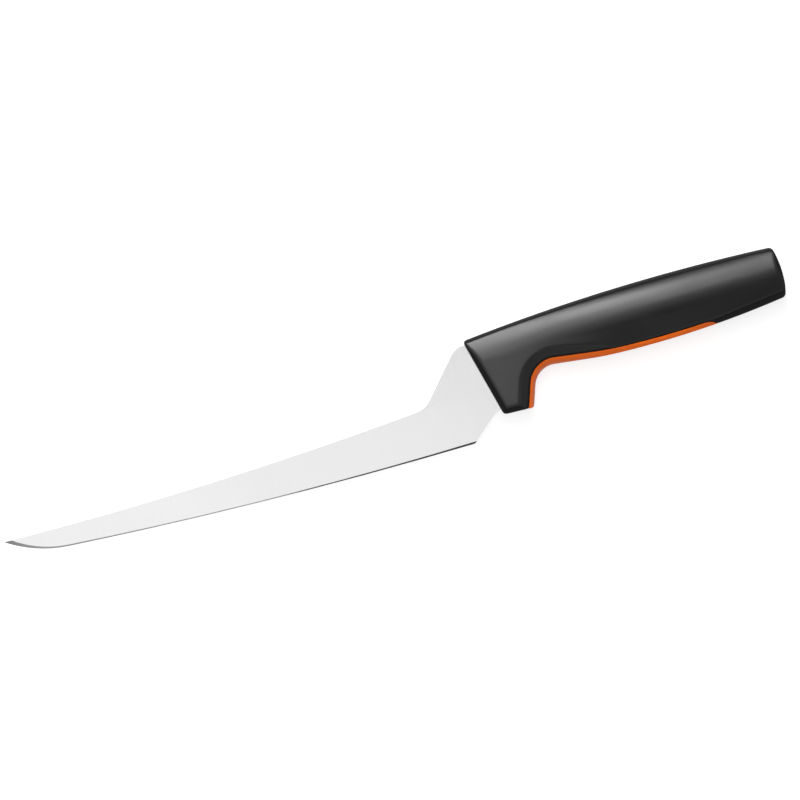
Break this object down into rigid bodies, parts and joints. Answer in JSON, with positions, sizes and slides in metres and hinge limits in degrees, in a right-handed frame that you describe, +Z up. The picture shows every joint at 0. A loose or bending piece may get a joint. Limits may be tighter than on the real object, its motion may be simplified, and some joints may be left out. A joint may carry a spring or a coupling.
{
  "type": "fillet knife",
  "caption": "Fillet knife with a long narrow ground blade, a cranked neck that lifts the handle above the cutting line, and a soft-grip handle with a finger recess and a bright belly strip.",
  "frame": {"origin": "under the middle of the knife's bounding box, on the surface that the knife lies on", "axes": "the knife lies on its side: +X along the cutting edge towards the butt of the handle, +Y in the plane of the blade from the edge towards the spine, +Z up across the thickness of the blade"},
  "size_m": [0.3576, 0.0556, 0.0208],
  "materials": {
    "blade_steel": "satin-ground stainless steel with a brighter cutting bevel",
    "core_plastic": "orange moulded plastic, satin",
    "grip_rubber": "black soft-touch elastomer, fine matt texture"
  },
  "bodies": {
    "root": {"blade": "blade_steel", "handle_core": "core_plastic", "soft_grip": "grip_rubber"}
  },
  "joints": []
}
